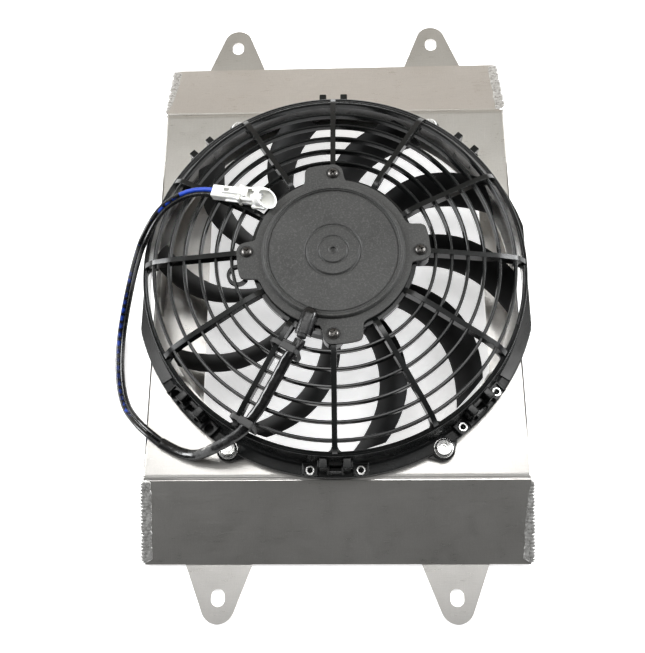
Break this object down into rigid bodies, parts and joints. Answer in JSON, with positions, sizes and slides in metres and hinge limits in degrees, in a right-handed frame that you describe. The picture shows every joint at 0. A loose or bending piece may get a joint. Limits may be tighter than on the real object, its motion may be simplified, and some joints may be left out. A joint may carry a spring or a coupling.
{
  "type": "electric oil cooler fan and shroud",
  "caption": "Electric fan in a black guarded ring, bolted to a folded and welded aluminium shroud with slotted mounting ears and a lead with a plug.",
  "frame": {"origin": "where the fan axis meets the plane of the shroud's open back, which is also the plane of the four ears", "axes": "+Z along the fan axis from the open back to the motor cover, +Y along the shroud's long side to its top ears, +X to its right side"},
  "size_m": [0.3281, 0.515, 0.1005],
  "materials": {
    "aluminium": "mill-finish aluminium sheet, lightly brushed, with handling smudges",
    "weld": "satin TIG bead with fine stacked ripples",
    "fan_plastic": "black glass-filled nylon with a soft gloss",
    "blade_plastic": "black glass-filled nylon, satin",
    "motor_paint": "dark grey, fine satin texture",
    "bright_zinc": "bright zinc plate",
    "dark_zinc": "dark zinc plate",
    "can_steel": "drawn steel, grey-blue zinc plate",
    "bearing_steel": "ground steel",
    "lamination": "stacked electrical steel",
    "ferrite": "sintered ferrite",
    "copper": "enamelled copper",
    "phenolic": "brown phenolic board",
    "carbon": "graphite",
    "rubber": "black moulded rubber",
    "cable_black": "black flexible sleeving and insulation, soft sheen",
    "wire_blue": "blue PVC insulation",
    "nylon_white": "natural white nylon",
    "tin": "tinned brass",
    "tie_nylon": "black nylon"
  },
  "bodies": {
    "chassis": {"bearing_front": "bearing_steel", "bearing_rear": "bearing_steel", "brush_bottom": "carbon", "brush_plate": "phenolic", "brush_spring_bottom": "bearing_steel", "brush_spring_top": "bearing_steel", "brush_top": "carbon", "cable_sleeve": "cable_black", "cable_tie_1": "tie_nylon", "cable_tie_2": "tie_nylon", "connector_housing": "nylon_white", "cover_gasket": "rubber", "cover_screw_bottom": "dark_zinc", "cover_screw_left": "dark_zinc", "cover_screw_right": "dark_zinc", "cover_screw_top": "dark_zinc", "fan_housing": "fan_plastic", "lock_nut_bottom_left": "bright_zinc", "lock_nut_bottom_right": "bright_zinc", "lock_nut_top_left": "bright_zinc", "lock_nut_top_right": "bright_zinc", "magnet_left": "ferrite", "magnet_right": "ferrite", "motor_can": "can_steel", "motor_cover": "motor_paint", "mounting_bolt_bottom_left": "bright_zinc", "mounting_bolt_bottom_right": "bright_zinc", "mounting_bolt_top_left": "bright_zinc", "mounting_bolt_top_right": "bright_zinc", "mounting_ear_bottom_left": "aluminium", "mounting_ear_bottom_right": "aluminium", "mounting_ear_top_left": "aluminium", "mounting_ear_top_right": "aluminium", "shroud_body": "aluminium", "strain_relief": "rubber", "terminal_black": "tin", "terminal_blue": "tin", "thread_insert_1": "bright_zinc", "thread_insert_2": "bright_zinc", "thread_insert_3": "bright_zinc", "thread_insert_4": "bright_zinc", "washer_bottom_left": "bright_zinc", "washer_bottom_right": "bright_zinc", "washer_top_left": "bright_zinc", "washer_top_right": "bright_zinc", "weld_bead_bottom_left": "weld", "weld_bead_bottom_right": "weld", "weld_bead_top_left": "weld", "weld_bead_top_right": "weld", "wire_black": "cable_black", "wire_blue": "wire_blue"},
    "rotor": {"rotor_shaft": "bearing_steel", "armature_core": "lamination", "winding_front": "copper", "winding_rear": "copper", "commutator": "copper", "impeller": "blade_plastic", "impeller_nut": "bright_zinc"}
  },
  "joints": [
    {"name": "fan_spin", "type": "hinge", "parent": "chassis", "child": "rotor", "pos_m": [0, 0, 0.04], "axis": [0, 0, 1], "continuous": true}
  ]
}
